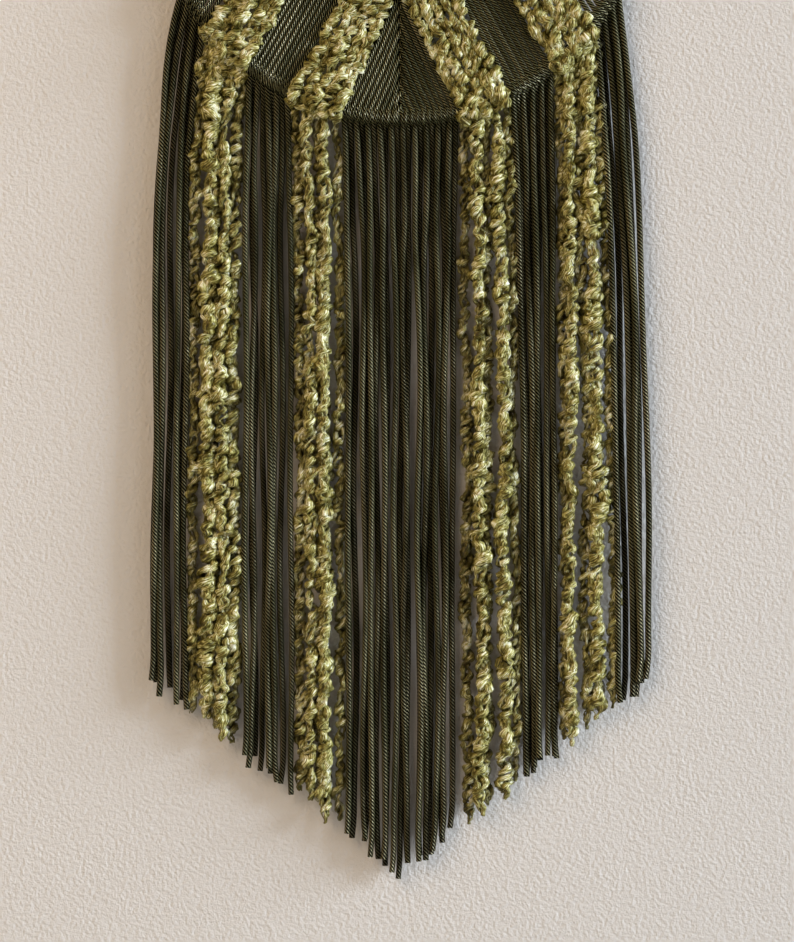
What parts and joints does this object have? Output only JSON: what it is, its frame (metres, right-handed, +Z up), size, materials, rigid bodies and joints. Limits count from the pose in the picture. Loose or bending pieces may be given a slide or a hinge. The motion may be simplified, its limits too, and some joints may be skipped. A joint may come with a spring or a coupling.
{
  "type": "macrame wall hanging with hoop",
  "caption": "Dark green cords and olive boucle yarn crossed in a chevron on a round metal hoop, with a long V-cut fringe.",
  "frame": {"origin": "under the top of the hoop's wire, where a wall nail carries it (mount hang_point)", "axes": "+Z up, along the fringe; +X to the hanging's right as seen from the room; -Y out of the wall towards the room, so the decorated face looks along -Y"},
  "size_m": [0.3137, 0.0226, 0.7757],
  "materials": {
    "cotton_cord": "twisted, dark green, slightly shiny",
    "boucle_yarn": "olive boucle, matt with a soft sheen",
    "painted_steel": "satin, black"
  },
  "bodies": {
    "root": {"hoop": "painted_steel", "centre_cords": "cotton_cord", "inner_boucle": "boucle_yarn", "mid_cords": "cotton_cord", "outer_boucle": "boucle_yarn", "outer_cords": "cotton_cord", "fringe_centre_cords": "cotton_cord", "fringe_inner_boucle_left": "boucle_yarn", "fringe_inner_boucle_right": "boucle_yarn", "fringe_mid_cords_left": "cotton_cord", "fringe_mid_cords_right": "cotton_cord", "fringe_outer_boucle_left": "boucle_yarn", "fringe_outer_boucle_right": "boucle_yarn", "fringe_outer_cords_left": "cotton_cord", "fringe_outer_cords_right": "cotton_cord"}
  },
  "joints": []
}
